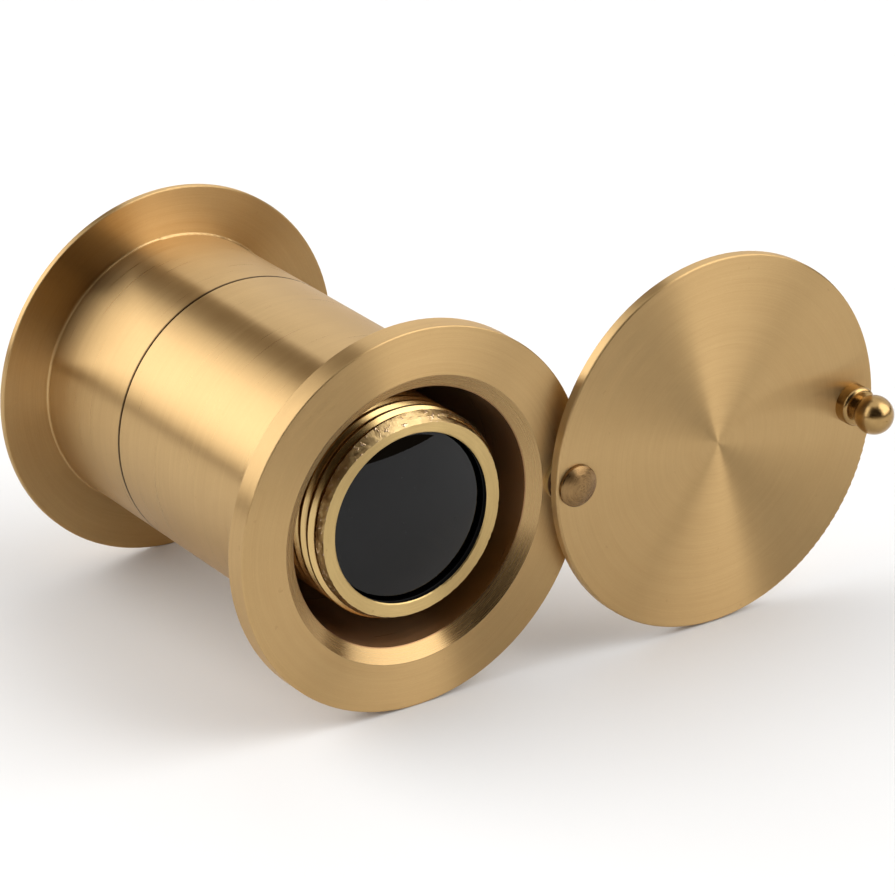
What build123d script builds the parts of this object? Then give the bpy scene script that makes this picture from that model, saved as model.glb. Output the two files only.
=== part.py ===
from build123d import *
from math import sqrt
import os

# Brass door viewer with a swivel cover, modelled in millimetres.
# The viewer's axis is Y: -Y is the room side, +Y the street side, +Z is up.
# The origin is on that axis, in the plane where the outer flange meets the door.
# The cover is stored swung fully open, towards +X.

# Driving dimensions ---------------------------------------------------------

flange_radius = 19.0
sleeve_radius = 14.0
sleeve_bore_radius = 12.87
edge_break = 0.15  # rounding on turned outside edges
seat_fillet = 0.25  # rounding where a sleeve meets its flange

door_thickness = 41.0  # the thinnest door: both sleeves meet inside it
outer_sleeve_length = 13.4
sleeve_gap = 0.15  # seam between the two sleeves
inner_flange_thickness = 2.4
mouth_bevel_radius = 14.24
mouth_bevel_depth = 0.97

outer_rim_thickness = 0.65
outer_face_height = 2.9  # crown of the outer flange over its seat
outer_face_sag = 0.35  # how far the crown bows out from a plain cone
tube_socket_depth = 7.0  # from the seat plane to the end of the tube's socket

tube_radius = 10.4
tube_root_radius = 9.93
tube_bore_radius = 9.1
eye_opening_radius = 8.43
tube_end_recess = 0.75  # the tube stops this far inside the inner flange's face
tube_end_flat_radius = 9.77
tube_chamfer_length = 1.1  # along the axis, from the flat end
tube_lip_depth = 0.5
thread_pitch = 1.27
thread_turns = 25
thread_crest_share = 0.12  # crest width as a share of the pitch
thread_root_width = 0.5

thread_ring_length = 6.0
thread_ring_inset = 0.6  # from the inner sleeve's end
thread_ring_chamfer = 0.4
thread_running_gap = 0.05

bezel_radius = 12.4
bezel_opening_radius = 10.5
bezel_proud = 0.4  # over the crown of the outer flange
bezel_taper = 0.6  # its bore opens by this much towards the street
bezel_land = 0.4  # flat step of the outer flange around the bezel
objective_radius = 11.5
objective_seat_radius = 11.6
objective_front = 0.4  # front of the objective's rim, over the seat plane
objective_rim = 2.0
objective_seal_thickness = 0.4

lens_radius = 9.05
spacer_bore_radius = 7.7
long_spacer_bore_radius = 8.2
cushion_thickness = 0.2
eyepiece_rim = 1.6
rear_lens_room_y = -17.0
rear_lens_rim = 3.0
front_lens_room_y = -9.0
front_lens_rim = 4.2

# The two faces of each lens, as (curve radius, clear radius). A positive curve
# radius bulges out of the lens, a negative one is hollow.
objective_room_face = (-9.0, 7.6)
objective_street_face = (15.0, 10.4)
front_lens_room_face = (-30.0, 7.6)
front_lens_street_face = (-11.0, 6.6)
rear_lens_room_face = (60.0, 7.6)
rear_lens_street_face = (-12.0, 6.5)
eyepiece_room_face = (29.0, 8.4)
eyepiece_street_face = (32.0, 8.1)

cover_radius = 18.92
cover_thickness = 1.17
cover_gap = 0.94  # between the inner flange and the cover
pivot_radius = 16.65  # pivot to viewer axis, and pivot to cover centre
cover_edge_fillet = 0.2

rivet_shank_radius = 1.2
rivet_running_gap = 0.05
rivet_head_radius = 2.05
rivet_head_side = 0.3  # straight side of the head, below its crown
rivet_crown_radius = 1.95  # where the bevelled edge ends and the crown begins
rivet_crown_curve = 3.9
rivet_edge_height = 0.12
rivet_tail_radius = 1.7
rivet_tail_depth = 0.5
flush_gap = 0.05  # a peened tail stops this far under its surface

washer_radius = 2.2
pivot_spacer_thickness = 0.5
spring_washer_stock = 0.15
turning_gap = 0.03  # between faces that turn on each other

knob_ball_radius = 1.95
knob_ball_height = 3.45  # ball centre over the cover
knob_offset = 16.35  # knob to cover centre
knob_collar_radius = 2.0
knob_collar_height = 1.4
knob_collar_fillet = 0.45
knob_neck_radius = 1.15
knob_shank_radius = 0.9
knob_tail_radius = 1.3
knob_tail_depth = 0.4

plane_tolerance = 0.01  # how near an edge has to be to a plane to count as in it

# Places along the viewer's axis, worked out from the dimensions above --------

inner_seat_y = -door_thickness
inner_face_y = inner_seat_y - inner_flange_thickness
outer_sleeve_end_y = -outer_sleeve_length
inner_sleeve_end_y = outer_sleeve_end_y - sleeve_gap

objective_rear_y = objective_front - objective_rim
tube_front_y = objective_rear_y - objective_seal_thickness
tube_end_y = inner_face_y + tube_end_recess
tube_lip_y = tube_end_y + tube_lip_depth
tube_chamfer_y = tube_end_y + tube_chamfer_length

eyepiece_room_y = tube_lip_y + cushion_thickness
eyepiece_street_y = eyepiece_room_y + eyepiece_rim
rear_lens_street_y = rear_lens_room_y + rear_lens_rim
front_lens_street_y = front_lens_room_y + front_lens_rim

thread_ring_street_y = inner_sleeve_end_y - thread_ring_inset
thread_ring_room_y = thread_ring_street_y - thread_ring_length

cover_back_y = inner_face_y - cover_gap
cover_face_y = cover_back_y - cover_thickness
cover_centre_x = 2 * pivot_radius
knob_x = cover_centre_x + knob_offset
pivot_spacer_y = inner_face_y - pivot_spacer_thickness


def axis_at(x):
    """The line parallel to the viewer's axis that crosses the X axis at x."""
    return Axis((x, 0, 0), (0, 1, 0))


def half_plane_at(x):
    """Sketch plane for spun profiles: its own X is the radius from the line at x, its Y runs along it."""
    return Plane(origin=(x, 0, 0), x_dir=(1, 0, 0), z_dir=(0, 0, 1))


def circles_at(piece, y):
    """The circular edges of a piece in the plane at y, smallest first."""
    circles = piece.edges().filter_by(GeomType.CIRCLE)
    in_plane = circles.filter_by_position(Axis.Y, y - plane_tolerance, y + plane_tolerance)
    return in_plane.sort_by(SortBy.RADIUS)


def make_ring(inner_radius, outer_radius, room_y, street_y, x=0):
    """A plain ring or tube around the line at x."""
    section_centre = ((inner_radius + outer_radius) / 2, (room_y + street_y) / 2)
    with BuildPart() as ring:
        with BuildSketch(half_plane_at(x)):
            with Locations(section_centre):
                Rectangle(outer_radius - inner_radius, street_y - room_y)
        revolve(axis=axis_at(x))
    return ring


def dome_height(curve_radius, half_width):
    """How far a sphere of curve_radius rises over a chord of half_width."""
    return curve_radius - sqrt(curve_radius**2 - half_width**2)


def face_arc(rim_y, side, curve_radius, clear_radius):
    """A lens face from the axis to its rim; side is -1 for a room-side face and 1 for a street-side one."""
    swell = side if curve_radius > 0 else -side
    total = dome_height(abs(curve_radius), clear_radius)
    halfway = total - dome_height(abs(curve_radius), clear_radius / 2)
    vertex = (0, rim_y + swell * total)
    return ThreePointArc(vertex, (clear_radius / 2, rim_y + swell * halfway), (clear_radius, rim_y))


def make_lens(rim_radius, room_y, street_y, room_face, street_face):
    """A lens with a flat ground rim. Each face is (curve radius, clear radius)."""
    with BuildPart() as lens:
        with BuildSketch():
            with BuildLine():
                room_arc = face_arc(room_y, -1, *room_face)
                street_arc = face_arc(street_y, 1, *street_face)
                Polyline(room_arc @ 1, (rim_radius, room_y), (rim_radius, street_y), street_arc @ 1)
                Line(street_arc @ 0, room_arc @ 0)
            make_face()
        revolve(axis=Axis.Y)
    return lens


# Street side: the outer flange with its sleeve, and the tube it carries ------

with BuildPart() as outer_barrel:
    with BuildSketch():
        with BuildLine():
            crown_foot = (flange_radius, outer_rim_thickness)
            crown_top = (bezel_radius + bezel_land, outer_face_height)
            crown = SagittaArc(crown_foot, crown_top, -outer_face_sag)
            Polyline(
                crown @ 1,
                (bezel_radius, outer_face_height),
                (bezel_radius, objective_front),
                (objective_seat_radius, objective_front),
                (objective_seat_radius, tube_front_y),
                (tube_radius, tube_front_y),
                (tube_radius, -tube_socket_depth),
                (sleeve_bore_radius, -tube_socket_depth),
                (sleeve_bore_radius, outer_sleeve_end_y),
                (sleeve_radius, outer_sleeve_end_y),
                (sleeve_radius, 0),
                (flange_radius, 0),
                crown @ 0,
            )
        make_face()
    revolve(axis=Axis.Y)
    fillet(circles_at(outer_barrel, 0)[0], seat_fillet)
    rim_edges = outer_barrel.edges().filter_by(GeomType.CIRCLE).sort_by(SortBy.RADIUS)[-2:]
    fillet(rim_edges, edge_break)

with BuildPart() as optical_tube:
    with BuildSketch():
        with BuildLine():
            crest_width = thread_crest_share * thread_pitch
            flank_width = (thread_pitch - crest_width - thread_root_width) / 2
            thread_outline = []
            for turn in range(thread_turns):
                groove_y = tube_chamfer_y + crest_width + turn * thread_pitch
                thread_outline += [
                    (tube_radius, groove_y),
                    (tube_root_radius, groove_y + flank_width),
                    (tube_root_radius, groove_y + flank_width + thread_root_width),
                    (tube_radius, groove_y + thread_pitch - crest_width),
                ]
            Polyline(
                (eye_opening_radius, tube_end_y),
                (tube_end_flat_radius, tube_end_y),
                (tube_radius, tube_chamfer_y),
                *thread_outline,
                (tube_radius, tube_front_y),
                (tube_bore_radius, tube_front_y),
                (tube_bore_radius, tube_lip_y),
                (eye_opening_radius, tube_lip_y),
                close=True,
            )
        make_face()
    revolve(axis=Axis.Y)

# Street side: the domed objective, its seal and the bezel that holds it ------

objective_lens = make_lens(
    objective_radius, objective_rear_y, objective_front, objective_room_face, objective_street_face
)

objective_seal = make_ring(spacer_bore_radius, objective_radius, tube_front_y, objective_rear_y)

with BuildPart() as bezel_ring:
    with BuildSketch():
        with BuildLine():
            bezel_top_y = outer_face_height + bezel_proud
            Polyline(
                (bezel_opening_radius, objective_front),
                (bezel_radius, objective_front),
                (bezel_radius, bezel_top_y),
                (bezel_opening_radius + bezel_taper, bezel_top_y),
                close=True,
            )
        make_face()
    revolve(axis=Axis.Y)
    fillet(bezel_ring.edges().filter_by(GeomType.CIRCLE).group_by(Axis.Y)[-1], edge_break)

# Inside the tube: the lens stack, from the street side to the eye -----------

front_spacer = make_ring(spacer_bore_radius, lens_radius, front_lens_street_y, tube_front_y)

front_negative_lens = make_lens(
    lens_radius, front_lens_room_y, front_lens_street_y, front_lens_room_face, front_lens_street_face
)

middle_spacer = make_ring(spacer_bore_radius, lens_radius, rear_lens_street_y, front_lens_room_y)

rear_negative_lens = make_lens(
    lens_radius, rear_lens_room_y, rear_lens_street_y, rear_lens_room_face, rear_lens_street_face
)

long_spacer = make_ring(long_spacer_bore_radius, lens_radius, eyepiece_street_y, rear_lens_room_y)

eyepiece_lens = make_lens(
    lens_radius, eyepiece_room_y, eyepiece_street_y, eyepiece_room_face, eyepiece_street_face
)

eyepiece_cushion = make_ring(eye_opening_radius, lens_radius, tube_lip_y, eyepiece_room_y)

# Room side: the inner flange with its sleeve, and the ring it screws on with --

with BuildPart() as inner_barrel:
    with BuildSketch():
        with BuildLine():
            Polyline(
                (mouth_bevel_radius, inner_face_y),
                (flange_radius, inner_face_y),
                (flange_radius, inner_seat_y),
                (sleeve_radius, inner_seat_y),
                (sleeve_radius, inner_sleeve_end_y),
                (sleeve_bore_radius, inner_sleeve_end_y),
                (sleeve_bore_radius, inner_face_y + mouth_bevel_depth),
                close=True,
            )
        make_face()
    revolve(axis=Axis.Y)
    fillet(circles_at(inner_barrel, inner_seat_y)[0], seat_fillet)
    rim_edges = inner_barrel.edges().filter_by(GeomType.CIRCLE).sort_by(SortBy.RADIUS)[-2:]
    fillet(rim_edges, edge_break)
    # hole for the pivot rivet, countersunk on the door side for its peened tail
    with Locations(Plane(origin=(pivot_radius, inner_seat_y, 0), z_dir=(0, 1, 0))):
        CounterSinkHole(rivet_shank_radius, rivet_tail_radius, inner_flange_thickness)

with BuildPart() as thread_ring:
    with BuildSketch():
        ring_width = sleeve_bore_radius - tube_radius - 2 * thread_running_gap
        ring_radius = (tube_radius + sleeve_bore_radius) / 2
        with Locations((ring_radius, (thread_ring_room_y + thread_ring_street_y) / 2)):
            Rectangle(ring_width, thread_ring_length)
    revolve(axis=Axis.Y)
    bore_edges = thread_ring.edges().filter_by(GeomType.CIRCLE).sort_by(SortBy.RADIUS)[:2]
    chamfer(bore_edges, thread_ring_chamfer)

# Pivot: rivet, the spacer that stands the cover off, and its friction spring --

with BuildPart() as pivot_rivet:
    with BuildSketch(half_plane_at(pivot_radius)):
        with BuildLine():
            head_back_y = cover_face_y - turning_gap
            head_side_y = head_back_y - rivet_head_side
            crown = face_arc(head_side_y - rivet_edge_height, -1, rivet_crown_curve, rivet_crown_radius)
            tail_y = inner_seat_y - flush_gap
            Polyline(
                crown @ 1,
                (rivet_head_radius, head_side_y),
                (rivet_head_radius, head_back_y),
                (rivet_shank_radius, head_back_y),
                (rivet_shank_radius, tail_y - rivet_tail_depth),
                (rivet_tail_radius - flush_gap, tail_y),
                (0, tail_y),
                crown @ 0,
            )
        make_face()
    revolve(axis=axis_at(pivot_radius))

pivot_spacer = make_ring(
    rivet_shank_radius + rivet_running_gap, washer_radius, pivot_spacer_y, inner_face_y, x=pivot_radius
)

with BuildPart() as spring_washer:
    # a dished washer: its outer edge rests on the spacer, its inner edge on the cover
    with BuildSketch(half_plane_at(pivot_radius)):
        with BuildLine():
            hole_radius = rivet_shank_radius + rivet_running_gap
            dish_room_y = cover_back_y + turning_gap
            Polyline(
                (hole_radius, dish_room_y),
                (hole_radius, dish_room_y + spring_washer_stock),
                (washer_radius, pivot_spacer_y),
                (washer_radius, pivot_spacer_y - spring_washer_stock),
                close=True,
            )
        make_face()
    revolve(axis=axis_at(pivot_radius))

# Cover: the disc and its ball knob -------------------------------------------

with BuildPart() as cover_disc:
    with BuildSketch(Plane(origin=(cover_centre_x, cover_back_y, 0), z_dir=(0, -1, 0))):
        Circle(cover_radius)
    extrude(amount=cover_thickness)
    fillet(cover_disc.edges().filter_by(GeomType.CIRCLE), cover_edge_fillet)
    with Locations(Plane(origin=(pivot_radius, cover_face_y, 0), z_dir=(0, -1, 0))):
        Hole(rivet_shank_radius + rivet_running_gap, depth=cover_thickness)
    with Locations(Plane(origin=(knob_x, cover_back_y, 0), z_dir=(0, 1, 0))):
        CounterSinkHole(knob_shank_radius, knob_tail_radius, cover_thickness)

with BuildPart() as cover_knob:
    with BuildSketch(half_plane_at(knob_x)):
        with BuildLine():
            ball_y = cover_face_y - knob_ball_height
            collar_y = cover_face_y - knob_collar_height
            neck_y = ball_y + sqrt(knob_ball_radius**2 - knob_neck_radius**2)
            ball = ThreePointArc(
                (0, ball_y - knob_ball_radius), (knob_ball_radius, ball_y), (knob_neck_radius, neck_y)
            )
            knob_tail_y = cover_back_y - flush_gap
            Polyline(
                ball @ 1,
                (knob_neck_radius, collar_y),
                (knob_collar_radius, collar_y),
                (knob_collar_radius, cover_face_y),
                (knob_shank_radius, cover_face_y),
                (knob_shank_radius, knob_tail_y - knob_tail_depth),
                (knob_tail_radius - flush_gap, knob_tail_y),
                (0, knob_tail_y),
                ball @ 0,
            )
        make_face()
    revolve(axis=axis_at(knob_x))
    fillet(circles_at(cover_knob, collar_y)[-1], knob_collar_fillet)

# Every piece in its own file --------------------------------------------------

pieces = {
    "outer_barrel": outer_barrel,
    "optical_tube": optical_tube,
    "objective_lens": objective_lens,
    "objective_seal": objective_seal,
    "bezel_ring": bezel_ring,
    "front_spacer": front_spacer,
    "front_negative_lens": front_negative_lens,
    "middle_spacer": middle_spacer,
    "rear_negative_lens": rear_negative_lens,
    "long_spacer": long_spacer,
    "eyepiece_lens": eyepiece_lens,
    "eyepiece_cushion": eyepiece_cushion,
    "inner_barrel": inner_barrel,
    "thread_ring": thread_ring,
    "pivot_rivet": pivot_rivet,
    "pivot_spacer": pivot_spacer,
    "spring_washer": spring_washer,
    "cover_disc": cover_disc,
    "cover_knob": cover_knob,
}

os.makedirs("parts", exist_ok=True)
for name, piece in pieces.items():
    piece.part.label = name
    export_step(piece.part, f"parts/{name}.step")
    size = piece.part.bounding_box()
    print(f"{name:20s} volume {piece.part.volume:9.2f}  y {size.min.Y:8.3f} to {size.max.Y:8.3f}")
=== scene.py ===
import bmesh
import bpy
import math
from mathutils import Matrix, Vector, noise


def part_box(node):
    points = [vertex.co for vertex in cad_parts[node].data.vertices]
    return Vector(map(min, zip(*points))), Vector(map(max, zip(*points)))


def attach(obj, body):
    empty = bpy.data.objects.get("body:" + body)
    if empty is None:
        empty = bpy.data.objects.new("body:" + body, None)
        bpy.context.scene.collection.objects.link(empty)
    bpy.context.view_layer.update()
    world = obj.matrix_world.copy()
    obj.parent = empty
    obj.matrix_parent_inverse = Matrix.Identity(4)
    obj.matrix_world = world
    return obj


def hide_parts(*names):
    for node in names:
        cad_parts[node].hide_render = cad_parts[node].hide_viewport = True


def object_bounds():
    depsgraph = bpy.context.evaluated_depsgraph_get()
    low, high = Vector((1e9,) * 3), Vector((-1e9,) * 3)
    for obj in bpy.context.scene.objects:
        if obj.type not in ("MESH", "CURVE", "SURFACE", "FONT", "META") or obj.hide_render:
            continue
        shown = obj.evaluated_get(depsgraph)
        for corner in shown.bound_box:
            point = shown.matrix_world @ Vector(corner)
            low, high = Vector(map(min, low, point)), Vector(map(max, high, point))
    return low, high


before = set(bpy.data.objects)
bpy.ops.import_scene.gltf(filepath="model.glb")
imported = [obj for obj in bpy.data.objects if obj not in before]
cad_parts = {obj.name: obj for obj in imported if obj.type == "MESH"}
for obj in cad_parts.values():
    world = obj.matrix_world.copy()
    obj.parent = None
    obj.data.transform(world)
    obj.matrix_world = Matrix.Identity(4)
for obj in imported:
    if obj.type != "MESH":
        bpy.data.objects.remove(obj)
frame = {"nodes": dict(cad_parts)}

# A brass door viewer lying on a pale floor, its cover swung open.
# Lengths in this script are in metres, as in the frame; MM turns millimetres into metres.
# The viewer's axis is Y: -Y is the room side, +Y the street side, +Z is up.

MM = 0.001

cad_low, cad_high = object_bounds()
cad_centre = (cad_low + cad_high) / 2


def turning_axis(node):
    """The x of the line, parallel to Y, that a turned CAD piece is round about."""
    low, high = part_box(node)
    return (low.x + high.x) / 2


# Node trees -------------------------------------------------------------------


class Nodes:
    """Short calls for building one material's or world's node tree."""

    def __init__(self, tree):
        self.tree = tree

    def add(self, kind, inputs=(), **settings):
        """Adds a node. Inputs are {socket: number, colour or another node's socket}."""
        node = self.tree.nodes.new(kind)
        for setting, value in settings.items():
            setattr(node, setting, value)
        for key, value in dict(inputs).items():
            if isinstance(value, bpy.types.NodeSocket):
                self.tree.links.new(value, node.inputs[key])
            else:
                node.inputs[key].default_value = value
        return node

    def math(self, operation, *values):
        return self.add("ShaderNodeMath", enumerate(values), operation=operation).outputs[0]

    def vector(self, x, y, z):
        return self.add("ShaderNodeCombineXYZ", {0: x, 1: y, 2: z}).outputs[0]

    def remap(self, value, low, high, to_low=0.0, to_high=1.0, smooth=False):
        """Takes low..high to to_low..to_high, and holds the ends."""
        curve = "SMOOTHSTEP" if smooth else "LINEAR"
        inputs = {0: value, 1: low, 2: high, 3: to_low, 4: to_high}
        return self.add("ShaderNodeMapRange", inputs, interpolation_type=curve).outputs[0]

    def noise(self, vector, w, scale, detail=2.0, roughness=0.5):
        """4D noise, about 0..1."""
        inputs = {"Vector": vector, "W": w, "Scale": scale, "Detail": detail, "Roughness": roughness}
        return self.add("ShaderNodeTexNoise", inputs, noise_dimensions="4D").outputs[0]

    def blend(self, share, first, second):
        """A colour between two others."""
        node = self.add("ShaderNodeMix", {"Factor": share}, data_type="RGBA")
        for key, value in ((6, first), (7, second)):
            if isinstance(value, bpy.types.NodeSocket):
                self.tree.links.new(value, node.inputs[key])
            else:
                node.inputs[key].default_value = (*value, 1.0)
        return node.outputs[2]


def new_material(name):
    """An empty node material: its nodes and its Principled shader."""
    material = bpy.data.materials.new(name)
    material.use_nodes = True
    nodes = Nodes(material.node_tree)
    return material, nodes, material.node_tree.nodes["Principled BSDF"]


def connect(nodes, shader, **sockets):
    """Links sockets of the shader to values of other nodes; underscores stand for spaces."""
    for name, value in sockets.items():
        nodes.tree.links.new(value, shader.inputs[name.replace("_", " ")])


# Turned and brushed metal -----------------------------------------------------

NICK_BRIGHTNESS = 0.2  # of short strokes, as a share of the step from dark to light tint
SPECK_DARKNESS = 0.9  # of dark specks, likewise
ROUGHNESS_SWING = 0.12  # how far the lines take the roughness up and down, as a share of it
FINISH_EDGE = 0.05 * MM  # half the width over which one finish passes into the next

BARREL_RADIUS = 14.0 * MM
SLEEVE_MARGIN = 0.3 * MM  # how far beyond the barrel's radius the sleeve's finish runs on
BORE_RADIUS = 12.95 * MM  # inside this the room-side barrel's bore is painted dark, as shade
MOUTH_DEPTH = 1.1 * MM  # how far its bevelled mouth reaches in
SLEEVE_SMOOTHNESS = 0.85  # a sleeve's roughness as a share of its flange's
SLEEVE_LINES = 0.4  # the depth of its lines as a share of the flange's
MOUTH_SMOOTHNESS = 0.9  # the mouth's roughness as a share of the sleeve's
MOUTH_SHADE = 0.22  # painted shade: how far the mouth's colour is darkened towards SHADE_TINT
# near-black colour of painted shade in the mouth, also used to darken the seam
SHADE_TINT = (0.05, 0.025, 0.01)
# dark colour painted into the bore as shade
BORE_SHADE_TINT = (0.28, 0.155, 0.075)
SEAM_DARK_REACH = 0.24 * MM  # how far the darkening reaches from the seam between the sleeves
SEAM_SHADE = 0.85  # and how dark it makes them


class LatheCoordinates:
    """Radius and place along the axis of a turned piece, and the direction around it."""

    def __init__(self, nodes, axis_x):
        self.nodes = nodes
        self.place = nodes.add("ShaderNodeTexCoord").outputs["Object"]
        parts = nodes.add("ShaderNodeSeparateXYZ", {0: self.place})
        sideways = nodes.math("SUBTRACT", parts.outputs[0], axis_x)
        height = parts.outputs[2]
        self.along = parts.outputs[1]
        squares = nodes.math("MULTIPLY_ADD", sideways, sideways, nodes.math("MULTIPLY", height, height))
        self.radius = nodes.math("MAXIMUM", nodes.math("SQRT", squares), 1e-6)
        self.cosine = nodes.math("DIVIDE", sideways, self.radius)
        self.sine = nodes.math("DIVIDE", height, self.radius)
        # the tool or the brush wanders a little, so its lines aren't perfect circles
        wander = nodes.math("MULTIPLY", nodes.noise(self.place, 8.0, 55.0), 0.4 * MM)
        self.line_radius = nodes.math("ADD", self.radius, wander)
        self.line_along = nodes.math("ADD", self.along, wander)

    def lines(self, spacing, turns, detail=2.0, seed=0.0):
        """Noise drawn out into lines around the axis; turns is how often one changes on its way round."""
        across = 1.0 / spacing
        vector = self.nodes.vector(
            self.nodes.math("MULTIPLY_ADD", self.line_radius, across, seed),
            self.nodes.math("MULTIPLY", self.line_along, across),
            self.nodes.math("MULTIPLY", self.cosine, turns),
        )
        return self.nodes.noise(vector, self.nodes.math("MULTIPLY", self.sine, turns), 1.0, detail)

    def inside(self, radius):
        """1 nearer to the axis than radius, 0 beyond it."""
        return self.nodes.remap(self.radius, radius - FINISH_EDGE, radius + FINISH_EDGE, 1.0, 0.0)

    def beyond(self, y):
        """1 on the street side of y, 0 on its room side."""
        return self.nodes.remap(self.along, y - FINISH_EDGE, y + FINISH_EDGE)


def brushed_metal(
    name,
    axis_x,
    light_tint,
    dark_tint,
    roughness,
    anisotropy,
    line_spacing,
    line_depth,
    streak_turns=1.5,
    patina=0.3,
    wear_and_shade=None,
):
    """Metal with fine lines running round its turning axis, which draw reflections out across them.

    Streak_turns is how often a line changes on its way round, and patina the share of cloudy tint.
    Its last argument, a function such as the sleeves' one, changes the colour, the roughness and the
    depth of the lines in places; on the room-side barrel it also paints shade into the colour.
    """
    material, nodes, shader = new_material(name)
    lathe = LatheCoordinates(nodes, axis_x)

    # fine lines, broad bands and short bright nicks
    fine = lathe.lines(line_spacing, streak_turns, detail=3.0)
    broad = lathe.lines(6 * line_spacing, 0.7 * streak_turns, seed=40.0)
    short = lathe.lines(0.9 * line_spacing, 45 * streak_turns, detail=1.0, seed=80.0)
    grain = nodes.math("ADD", nodes.math("MULTIPLY", fine, 0.55), nodes.math("MULTIPLY", broad, 0.45))
    nicks = nodes.remap(short, 0.52, 0.72, 0.0, NICK_BRIGHTNESS)

    # cloudy tarnish and dark specks
    cloud = nodes.noise(lathe.place, 3.0, 110.0, detail=4.0, roughness=0.6)
    specks = nodes.noise(lathe.place, 4.0, 1300.0, detail=1.0)
    clouded = nodes.math("MULTIPLY", cloud, patina)
    tint = nodes.math("ADD", nodes.math("MULTIPLY", grain, 1 - patina), clouded)
    tint = nodes.math("ADD", nodes.remap(tint, 0.32, 0.68), nicks)
    tint = nodes.math("SUBTRACT", tint, nodes.remap(specks, 0.74, 0.8, 0.0, SPECK_DARKNESS))

    colour = nodes.blend(tint, dark_tint, light_tint)
    smoothest = roughness * (1 - ROUGHNESS_SWING)
    roughest = roughness * (1 + ROUGHNESS_SWING)
    rough = nodes.remap(grain, 0.3, 0.7, smoothest, roughest)
    depth = line_depth
    # the function given here applies wear, and on the room-side barrel painted shade too
    if wear_and_shade:
        colour, rough, depth = wear_and_shade(nodes, lathe, colour, rough, line_depth)
    height = nodes.math("MULTIPLY_ADD", broad, 1.5, nodes.math("ADD", fine, nicks))
    bump = nodes.add("ShaderNodeBump", {"Strength": 1.0, "Distance": depth, "Height": height})
    tangent = nodes.add("ShaderNodeTangent", direction_type="RADIAL", axis="Y")
    connect(
        nodes,
        shader,
        Base_Color=colour,
        Roughness=rough,
        Normal=bump.outputs[0],
        Tangent=tangent.outputs[0],
    )
    shader.inputs["Metallic"].default_value = 1.0
    shader.inputs["Anisotropic"].default_value = anisotropy
    shader.inputs["Anisotropic Rotation"].default_value = 0.25
    return material


def sleeve_wear_and_shade(nodes, lathe, colour, rough, line_depth, mouth_y=None):
    """A barrel's colour, roughness and line depth, from those of its plain metal.

    Its sleeve is smoother than its flange, and darker close to the seam beside the other sleeve.
    The room-side barrel has a mouth, from its flange to mouth_y, that is smoother and painted darker as
    shade, and a bore painted dark as shade.
    """
    sleeve = lathe.inside(BARREL_RADIUS + SLEEVE_MARGIN)
    rough = nodes.math("MULTIPLY", rough, nodes.remap(sleeve, 0.0, 1.0, 1.0, SLEEVE_SMOOTHNESS))
    depth = nodes.remap(sleeve, 0.0, 1.0, line_depth, SLEEVE_LINES * line_depth)
    if mouth_y is not None:
        room_side = nodes.math("SUBTRACT", 1.0, lathe.beyond(mouth_y))
        mouth = nodes.math("MULTIPLY", sleeve, room_side)
        rough = nodes.math("MULTIPLY", rough, nodes.remap(mouth, 0.0, 1.0, 1.0, MOUTH_SMOOTHNESS))
        # painted shade: the mouth darkened towards the near-black shade tint
        colour = nodes.blend(nodes.math("MULTIPLY", mouth, MOUTH_SHADE), colour, SHADE_TINT)
        # painted shade: the bore inside BORE_RADIUS takes a dark tint
        colour = nodes.blend(lathe.inside(BORE_RADIUS), colour, BORE_SHADE_TINT)
    seam_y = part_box("outer_barrel")[0].y
    from_seam = nodes.math("ABSOLUTE", nodes.math("SUBTRACT", lathe.along, seam_y))
    # darker close to the seam between the sleeves
    near_seam = nodes.remap(from_seam, SEAM_DARK_REACH, 0.4 * SEAM_DARK_REACH, smooth=True)
    seam_darkening = nodes.math("MULTIPLY", sleeve, near_seam)
    colour = nodes.blend(nodes.math("MULTIPLY", seam_darkening, SEAM_SHADE), colour, SHADE_TINT)
    return colour, rough, depth


def mouth_wear_and_shade(*surface):
    """Wear and painted shade of the barrel whose mouth opens towards the room."""
    return sleeve_wear_and_shade(*surface, mouth_y=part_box("inner_barrel")[0].y + MOUTH_DEPTH)


def satin_brass(node, wear_and_shade=None):
    """The fine brushed finish of the faces and the sleeves."""
    return brushed_metal(
        f"satin_{node}",
        turning_axis(node),
        light_tint=(0.56, 0.375, 0.172),
        dark_tint=(0.48, 0.31, 0.134),
        roughness=0.35,
        anisotropy=1.0,
        line_spacing=0.09 * MM,
        line_depth=0.0012 * MM,
        wear_and_shade=wear_and_shade,
    )


def turned_brass(name, node):
    """The rivet's head: darker, with plain tool rings."""
    return brushed_metal(
        name,
        turning_axis(node),
        light_tint=(0.34, 0.21, 0.09),
        dark_tint=(0.15, 0.085, 0.035),
        roughness=0.28,
        anisotropy=0.6,
        line_spacing=0.2 * MM,
        line_depth=0.01 * MM,
    )


def raw_brass(name, node):
    """As it came off the lathe: yellower, with coarser tool marks."""
    return brushed_metal(
        name,
        turning_axis(node),
        light_tint=(0.64, 0.47, 0.205),
        dark_tint=(0.50, 0.345, 0.145),
        roughness=0.42,
        anisotropy=0.8,
        line_spacing=0.16 * MM,
        line_depth=0.003 * MM,
        streak_turns=4.0,
    )


def thread_brass(name, node):
    """Left by the threading tool: smoother and brighter than the faces."""
    return brushed_metal(
        name,
        turning_axis(node),
        light_tint=(0.70, 0.50, 0.225),
        dark_tint=(0.55, 0.38, 0.16),
        roughness=0.2,
        anisotropy=0.5,
        line_spacing=0.12 * MM,
        line_depth=0.002 * MM,
        streak_turns=4.0,
    )


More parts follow.
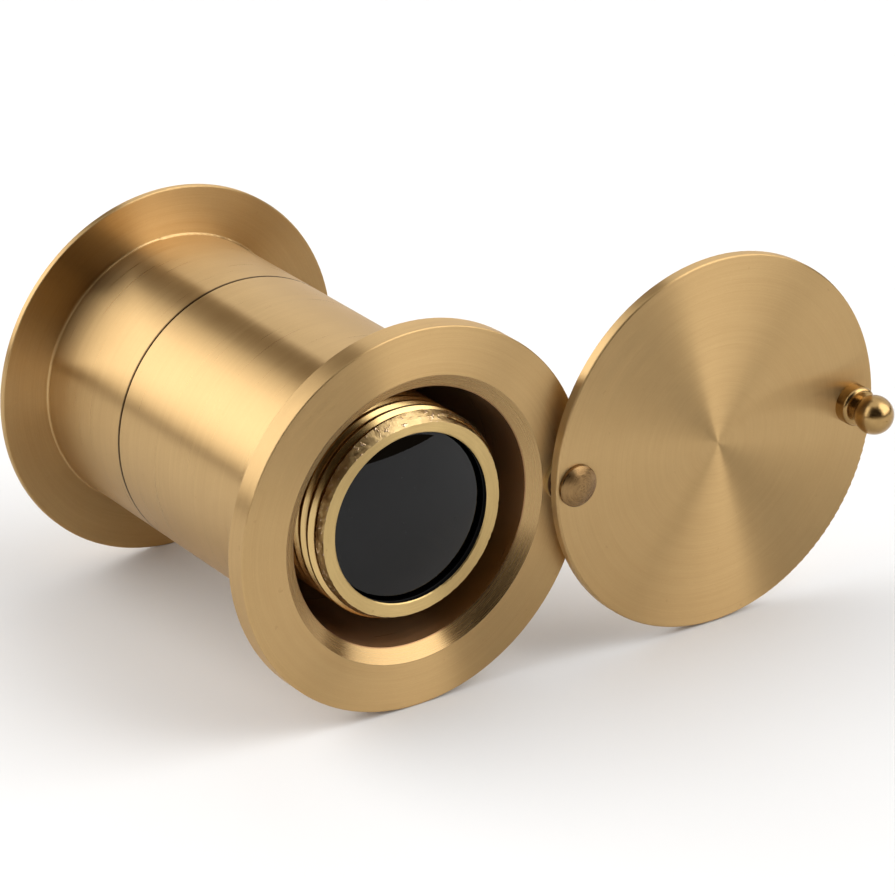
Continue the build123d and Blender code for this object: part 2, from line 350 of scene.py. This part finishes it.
def worn_brass(name, node):
    """A chamfer knocked about by handling: dull, mottled and bruised, with pale chips that are partly
    painted glint.
    """
    material, nodes, shader = new_material(name)
    lathe = LatheCoordinates(nodes, turning_axis(node))
    mottle = nodes.noise(lathe.place, 21.0, 700.0, detail=3.0, roughness=0.7)
    chips_and_glints = nodes.remap(nodes.noise(lathe.place, 22.0, 2600.0, detail=1.0), 0.58, 0.78)
    tint = nodes.blend(nodes.remap(mottle, 0.35, 0.65), (0.38, 0.26, 0.12), (0.58, 0.42, 0.20))
    height = nodes.math("ADD", nodes.math("MULTIPLY", mottle, 2.0), chips_and_glints)
    bump = nodes.add("ShaderNodeBump", {"Strength": 1.0, "Distance": 0.035 * MM, "Height": height})
    connect(
        nodes,
        shader,
        # the chips are tinted pale pink: partly bare metal, partly painted glint
        Base_Color=nodes.blend(chips_and_glints, tint, (0.74, 0.55, 0.39)),
        Roughness=nodes.remap(mottle, 0.3, 0.7, 0.26, 0.42),
        Normal=bump.outputs[0],
    )
    shader.inputs["Metallic"].default_value = 1.0
    return material


def polished_brass(name, node):
    """Smooth under a cloudy tarnish."""
    return brushed_metal(
        name,
        turning_axis(node),
        light_tint=(0.50, 0.33, 0.135),
        dark_tint=(0.22, 0.125, 0.045),
        roughness=0.22,
        anisotropy=0.3,
        line_spacing=0.16 * MM,
        line_depth=0.006 * MM,
        patina=0.7,
    )


def spring_steel(name, node):
    """Steel tempered brown."""
    return brushed_metal(
        name,
        turning_axis(node),
        light_tint=(0.26, 0.18, 0.11),
        dark_tint=(0.14, 0.10, 0.08),
        roughness=0.3,
        anisotropy=0.5,
        line_spacing=0.1 * MM,
        line_depth=0.001 * MM,
    )


# Glass, rubber and black spacers ----------------------------------------------


def shade_dark_glass(name):
    """Glass painted near black as shade for the viewer's dark inside, coated to mirror little, with a few
    grains of dust.
    """
    material, nodes, shader = new_material(name)
    place = nodes.add("ShaderNodeTexCoord").outputs["Object"]
    shade_cloud = nodes.remap(nodes.noise(place, 1.0, 90.0), 0.3, 0.7)
    dust = nodes.remap(nodes.noise(place, 9.0, 5200.0, detail=0.0), 0.8, 0.86)
    bump = nodes.add("ShaderNodeBump", {"Strength": 1.0, "Distance": 0.0008 * MM, "Height": dust})
    connect(
        nodes,
        shader,
        # painted shade: the glass is near black, so little is seen through it
        Base_Color=nodes.blend(shade_cloud, (0.0012, 0.0014, 0.0014), (0.002, 0.0022, 0.0022)),
        Roughness=nodes.math("MULTIPLY", dust, 0.5),
        Normal=bump.outputs[0],
    )
    shader.inputs["Transmission Weight"].default_value = 1.0
    shader.inputs["IOR"].default_value = 1.38
    return material


def black_finish(name, tint, roughness, grain_scale, grain_depth):
    """A dark matt surface with fine grain: moulded rubber or anodised aluminium."""
    material, nodes, shader = new_material(name)
    place = nodes.add("ShaderNodeTexCoord").outputs["Object"]
    grain = nodes.noise(place, 5.0, grain_scale, detail=4.0, roughness=0.6)
    cloud = nodes.noise(place, 6.0, 160.0)
    bump = nodes.add("ShaderNodeBump", {"Strength": 0.6, "Distance": grain_depth, "Height": grain})
    lighter = tuple(1.6 * channel for channel in tint)
    connect(
        nodes,
        shader,
        Base_Color=nodes.blend(nodes.remap(cloud, 0.3, 0.7), tint, lighter),
        Roughness=nodes.remap(grain, 0.3, 0.7, roughness - 0.06, roughness + 0.06),
        Normal=bump.outputs[0],
    )
    shader.inputs["Specular IOR Level"].default_value = 0.05
    return material


# Spun meshes --------------------------------------------------------------------

MERGE_DISTANCE = 0.0005 * MM  # points nearer than this become one
SHARP_EDGE = math.radians(28)  # an edge that turns more than this stays sharp


def spun_column(mesh, outline, angle):
    """Vertices for the (radius, y) points of an outline, turned about the viewer's axis from +X to +Z."""
    return [mesh.verts.new((r * math.cos(angle), y, r * math.sin(angle))) for r, y in outline]


def finished_piece(name, mesh):
    """Turns a bmesh into a shown object, smooth but for its sharp edges."""
    for face in mesh.faces:
        face.smooth = True
    for edge in mesh.edges:
        edge.smooth = edge.is_boundary or edge.calc_face_angle(0.0) < SHARP_EDGE
    data = bpy.data.meshes.new(name)
    mesh.to_mesh(data)
    mesh.free()
    piece = bpy.data.objects.new(name, data)
    bpy.context.scene.collection.objects.link(piece)
    return piece


# The tube and its thread --------------------------------------------------------

TUBE_RADIUS = 10.4 * MM
TUBE_BORE = 9.1 * MM
TUBE_LIP = 0.5 * MM  # thickness of the lip around the eye opening
EYE_OPENING = 8.43 * MM  # its radius
EYE_EDGE = 0.1 * MM  # edge break of the eye opening
END_FLAT_RADIUS = 9.77 * MM
CHAMFER_LENGTH = 1.1 * MM
FILED_DEPTH = 0.45 * MM  # how much further in the chamfer is filed on top
FILED_ANGLE = math.radians(95)  # the middle of the filed part, from +X towards +Z
FILED_HALF = math.radians(60)  # how far it runs to either side
THREAD_PITCH = 1.27 * MM
THREAD_START = 1.15 * MM
THREAD_LENGTH = 32.0 * MM
# Half of the thread's groove as (distance from its middle, depth under the crest).
HALF_GROOVE = [
    (0.1 * MM, 0.5 * MM),
    (0.2 * MM, 0.49 * MM),
    (0.25 * MM, 0.45 * MM),
    (0.27 * MM, 0.42 * MM),
    (0.48 * MM, 0.06 * MM),
    (0.5 * MM, 0.03 * MM),
    (0.54 * MM, 0.0),
]
TUBE_COLUMNS = 240  # columns of vertices around the tube
RUN_OUT = 0.02 * MM  # a groove shallower than this in the chamfer is worn with it
NICK_DEPTH = 0.09 * MM
NICK_SIZE = 0.45 * MM
FINER_NICKS = 2.3  # how much smaller the second set of nicks is; they are half as deep

# Material slots of the tube's faces.
THREAD_SLOT = 0
BLACK_SLOT = 1
CHAMFER_SLOT = 2
END_SLOT = 3


def nick(angle, y):
    """How deep the tube's end is bruised at an angle and a distance from the end."""
    place = Vector((TUBE_RADIUS * math.cos(angle), y, TUBE_RADIUS * math.sin(angle))) / NICK_SIZE
    return NICK_DEPTH * max(0.0, noise.noise(place) + 0.5 * noise.noise(FINER_NICKS * place))


def end_flat_radius(angle):
    """The radius where the flat end stops and the chamfer starts."""
    turned = min(abs(angle - FILED_ANGLE) / FILED_HALF, 1.0)
    return END_FLAT_RADIUS - FILED_DEPTH * (0.5 + 0.5 * math.cos(math.pi * turned))


def tube_outline(angle):
    """The tube's outside at one angle as (radius, distance from its room-side end, is on the chamfer)."""
    groove = [(-distance, depth) for distance, depth in reversed(HALF_GROOVE)] + HALF_GROOVE
    first_middle = THREAD_START - THREAD_PITCH * (0.5 + angle / (2 * math.pi))
    flat_radius = end_flat_radius(angle)
    outline = []
    for turn in range(math.ceil(THREAD_LENGTH / THREAD_PITCH) + 1):
        for side, depth in groove:
            y = min(max(first_middle + turn * THREAD_PITCH + side, 0.0), THREAD_LENGTH)
            fade = min(1.0, (THREAD_LENGTH - y) / THREAD_PITCH)
            threaded = TUBE_RADIUS - fade * depth
            chamfered = flat_radius + (TUBE_RADIUS - flat_radius) * y / CHAMFER_LENGTH
            is_chamfer = chamfered < threaded + RUN_OUT
            radius = min(chamfered, threaded) - nick(angle, y) if is_chamfer else threaded
            outline.append((radius, y, is_chamfer))
    return outline


def threaded_tube():
    """The optical tube with a true right-handed thread, a bruised chamfer and a blackened bore."""
    low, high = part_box("optical_tube")
    end, length = low.y, high.y - low.y
    mesh = bmesh.new()
    columns = []
    worn_flags = []
    for column in range(TUBE_COLUMNS + 1):
        angle = 2 * math.pi * column / TUBE_COLUMNS
        outside = tube_outline(angle)
        # the street-side end, the blackened bore, and the lip around the eye opening
        inside = [
            (TUBE_RADIUS, length, False),
            (TUBE_BORE, length, False),
            (TUBE_BORE, TUBE_LIP, False),
            (EYE_OPENING, TUBE_LIP, False),
            (EYE_OPENING, EYE_EDGE, False),
            (EYE_OPENING + EYE_EDGE + nick(angle, -CHAMFER_LENGTH), 0.0, False),
        ]
        points = outside + inside
        columns.append(spun_column(mesh, [(radius, end + y) for radius, y, is_chamfer in points], angle))
        worn_flags.append([is_chamfer for radius, y, is_chamfer in points])
    first_black = len(outside) + 1
    end_face = len(outside) + 4
    for here, there, worn in zip(columns, columns[1:], worn_flags):
        count = len(here)
        for i in range(count):
            after = (i + 1) % count
            face = mesh.faces.new((here[i], here[after], there[after], there[i]))
            if i >= end_face:
                face.material_index = END_SLOT
            elif i >= first_black:
                face.material_index = BLACK_SLOT
            elif worn[i] and worn[after]:
                face.material_index = CHAMFER_SLOT
            else:
                face.material_index = THREAD_SLOT
    bmesh.ops.remove_doubles(mesh, verts=mesh.verts, dist=MERGE_DISTANCE)
    bmesh.ops.dissolve_degenerate(mesh, edges=mesh.edges, dist=MERGE_DISTANCE)
    bmesh.ops.recalc_face_normals(mesh, faces=mesh.faces)
    return finished_piece("threaded_tube", mesh)


# The outer lenses -----------------------------------------------------------------

# Each as its rim's radius, and its room and street faces as (curve radius, clear radius).
# A positive curve radius bulges out of the lens, a negative one is hollow.
OUTER_LENSES = {
    "objective_lens": (11.5 * MM, (-9.0 * MM, 7.6 * MM), (15.0 * MM, 10.4 * MM)),
    "eyepiece_lens": (9.05 * MM, (29.0 * MM, 8.4 * MM), (32.0 * MM, 8.1 * MM)),
}
LENS_COLUMNS = 128
LENS_RINGS = 20


def lens_face(curve, clear):
    """A lens face from the axis to its clear radius, as (radius, rise over its rim)."""
    points = []
    for ring in range(LENS_RINGS + 1):
        radius = clear * ring / LENS_RINGS
        rise = math.sqrt(curve**2 - radius**2) - math.sqrt(curve**2 - clear**2)
        points.append((radius, math.copysign(rise, curve)))
    return points


def polished_lens(name):
    """One of the outer lenses, with truly round faces and a flat rim."""
    rim_radius, room_face, street_face = OUTER_LENSES[name]
    low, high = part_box(name)
    room = lens_face(*room_face)
    street = lens_face(*street_face)
    room_y = low.y + max(room[0][1], 0.0)
    street_y = high.y - max(street[0][1], 0.0)
    outline = [(radius, room_y - rise) for radius, rise in room]
    outline += [(rim_radius, room_y), (rim_radius, street_y)]
    outline += [(radius, street_y + rise) for radius, rise in reversed(street)]
    mesh = bmesh.new()
    columns = []
    for column in range(LENS_COLUMNS):
        angle = 2 * math.pi * column / LENS_COLUMNS
        columns.append(spun_column(mesh, outline, angle))
    for here, there in zip(columns, columns[1:] + columns[:1]):
        for i in range(len(outline) - 1):
            mesh.faces.new((here[i], here[i + 1], there[i + 1], there[i]))
    bmesh.ops.remove_doubles(mesh, verts=mesh.verts, dist=MERGE_DISTANCE)
    bmesh.ops.recalc_face_normals(mesh, faces=mesh.faces)
    return finished_piece(f"polished_{name}", mesh)


# Finishes on the pieces ---------------------------------------------------------


def give(piece, *materials):
    """Fills the piece's material slots. Its faces keep the slots that they are in."""
    slots = piece.data.materials
    for index, material in enumerate(materials):
        if index < len(slots):
            slots[index] = material
        else:
            slots.append(material)


def finish_barrels(nodes):
    """The two barrels and the rings fixed in them."""
    give(nodes["outer_barrel"], satin_brass("outer_barrel", sleeve_wear_and_shade))
    # the room-side barrel's mouth and bore carry painted shade
    give(nodes["inner_barrel"], satin_brass("inner_barrel", mouth_wear_and_shade))
    give(nodes["thread_ring"], raw_brass("raw_thread_ring", "thread_ring"))
    give(nodes["bezel_ring"], satin_brass("bezel_ring"))


def finish_cover(nodes):
    """The cover with its knob and its pivot."""
    give(nodes["cover_disc"], satin_brass("cover_disc"))
    give(nodes["pivot_rivet"], turned_brass("turned_pivot_rivet", "pivot_rivet"))
    give(nodes["pivot_spacer"], raw_brass("raw_pivot_spacer", "pivot_spacer"))
    give(nodes["cover_knob"], polished_brass("polished_cover_knob", "cover_knob"))
    give(nodes["spring_washer"], spring_steel("spring_steel", "spring_washer"))


def finish_lenses(nodes):
    """All the lenses; the two that can be seen from outside get round meshes of their own."""
    glass = shade_dark_glass("shade_dark_glass")
    for name in ("front_negative_lens", "rear_negative_lens"):
        give(nodes[name], glass)
    for name in OUTER_LENSES:
        lens = polished_lens(name)
        give(lens, glass)
        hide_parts(name)
        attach(lens, "outer_half")


def finish_tube(nodes):
    """The tube, and the rubber rings and black spacers in it."""
    rubber = black_finish("black_rubber", (0.018, 0.018, 0.019), 0.6, 3000.0, 0.01 * MM)
    for name in ("objective_seal", "eyepiece_cushion"):
        give(nodes[name], rubber)
    anodised = black_finish("black_anodised", (0.006, 0.006, 0.006), 0.8, 6000.0, 0.004 * MM)
    for name in ("front_spacer", "middle_spacer", "long_spacer"):
        give(nodes[name], anodised)

    tube = threaded_tube()
    thread = thread_brass("threaded_tube", "optical_tube")
    chamfer = worn_brass("worn_chamfer", "optical_tube")
    end_face = raw_brass("raw_tube_end", "optical_tube")
    give(tube, thread, anodised, chamfer, end_face)  # in the order of the slots above
    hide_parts("optical_tube")
    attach(tube, "outer_half")


# Floor, light and camera ---------------------------------------------------------

# Panels of the light tent: (azimuth from, to, elevation from, to, edge softness, brightness).
# Azimuth 0 is the front, -Y, and 90 the right, +X; angles are in degrees.
# Where they overlap, a later panel covers an earlier one.
TENT_BRIGHTNESS = 1.2  # between the panels
DARK_TINT = (1.0, 0.7, 0.4)  # the dark panels are warm
TENT_PANELS = [
    (-167, -90, 5.5, 56, 5, 3.1),
    (163.5, 191, -5, 75, 3, 0.24),
    (95, 160, -5, 50, 4, 1.0),
    (20, 78, 12, 66, 4, 3.3),
    (-74, 16, -20, 66, 7, 0.03),
    (-180, 180, -2, 6, 1.5, 0.3),
    (10, 90, -2, 11, 2, 0.15),
]


def make_tent():
    """A pale light tent around the object, as the world."""
    world = bpy.data.worlds.new("light_tent")
    bpy.context.scene.world = world
    world.use_nodes = True
    nodes = Nodes(world.node_tree)
    direction = nodes.add("ShaderNodeTexCoord").outputs["Generated"]
    parts = nodes.add("ShaderNodeSeparateXYZ", {0: direction})
    towards_room = nodes.math("MULTIPLY", parts.outputs[1], -1.0)
    azimuth = nodes.math("DEGREES", nodes.math("ARCTAN2", parts.outputs[0], towards_room))
    elevation = nodes.math("DEGREES", nodes.math("ARCSINE", parts.outputs[2]))
    brightness = TENT_BRIGHTNESS
    for azimuth_from, azimuth_to, elevation_from, elevation_to, edge, level in TENT_PANELS:
        middle_azimuth = (azimuth_from + azimuth_to) / 2
        half_width = (azimuth_to - azimuth_from) / 2
        turned = nodes.math("WRAP", nodes.math("SUBTRACT", azimuth, middle_azimuth), 180.0, -180.0)
        aside = nodes.math("ABSOLUTE", turned)
        across = nodes.remap(aside, half_width - edge, half_width + edge, 1.0, 0.0, smooth=True)
        middle_elevation = (elevation_from + elevation_to) / 2
        half_height = (elevation_to - elevation_from) / 2
        above = nodes.math("ABSOLUTE", nodes.math("SUBTRACT", elevation, middle_elevation))
        up = nodes.remap(above, half_height - edge, half_height + edge, 1.0, 0.0, smooth=True)
        share = nodes.math("MULTIPLY", across, up)
        step = nodes.math("MULTIPLY", share, nodes.math("SUBTRACT", level, brightness))
        brightness = nodes.math("ADD", step, brightness)
    colour = nodes.blend(nodes.remap(brightness, 0.0, 1.0, 1.0, 0.0), (1.0, 1.0, 1.0), DARK_TINT)
    connect(nodes, nodes.tree.nodes["Background"], Strength=brightness, Color=colour)


def make_floor():
    """A plain pale floor under the object."""
    half_side = 2.0
    mesh = bmesh.new()
    bmesh.ops.create_grid(mesh, x_segments=20, y_segments=20, size=half_side)
    for vertex in mesh.verts:
        vertex.co += Vector((cad_centre.x, cad_centre.y, cad_low.z))
    floor = finished_piece("floor", mesh)
    material, nodes, shader = new_material("pale_floor")
    place = nodes.add("ShaderNodeTexCoord").outputs["Object"]
    cloud = nodes.noise(place, 0.0, 12.0)
    connect(nodes, shader, Base_Color=nodes.blend(cloud, (0.76, 0.76, 0.76), (0.79, 0.79, 0.79)))
    shader.inputs["Roughness"].default_value = 0.7
    shader.inputs["Specular IOR Level"].default_value = 0.2
    give(floor, material)


def make_camera():
    """Looks down at the object from the room side, left of its axis."""
    azimuth = math.radians(-34.327)
    elevation = math.radians(24.322)
    roll = math.radians(-0.422)
    distance = 445.75 * MM
    aim_right = 0.605 * MM
    aim_up = -3.962 * MM
    level_forward = Vector((-math.sin(azimuth), math.cos(azimuth), 0.0))
    forward = level_forward * math.cos(elevation) - Vector((0.0, 0.0, math.sin(elevation)))
    level_right = Vector((math.cos(azimuth), math.sin(azimuth), 0.0))
    level_up = level_right.cross(forward)
    right = level_right * math.cos(roll) + level_up * math.sin(roll)
    up = level_up * math.cos(roll) - level_right * math.sin(roll)
    data = bpy.data.cameras.new("camera")
    data.lens = 184.453  # this and the sensor's width are in millimetres
    data.sensor_width = 36.0
    data.clip_start = 0.01
    data.clip_end = 20.0
    camera = bpy.data.objects.new("camera", data)
    bpy.context.scene.collection.objects.link(camera)
    aim = cad_centre + right * aim_right + up * aim_up
    turned = Matrix((right, up, -forward)).transposed().to_4x4()
    camera.matrix_world = Matrix.Translation(aim - forward * distance) @ turned
    bpy.context.scene.camera = camera


make_camera()
make_floor()
make_tent()
finish_barrels(frame["nodes"])
finish_cover(frame["nodes"])
finish_lenses(frame["nodes"])
finish_tube(frame["nodes"])
bpy.context.scene.view_settings.view_transform = "Standard"
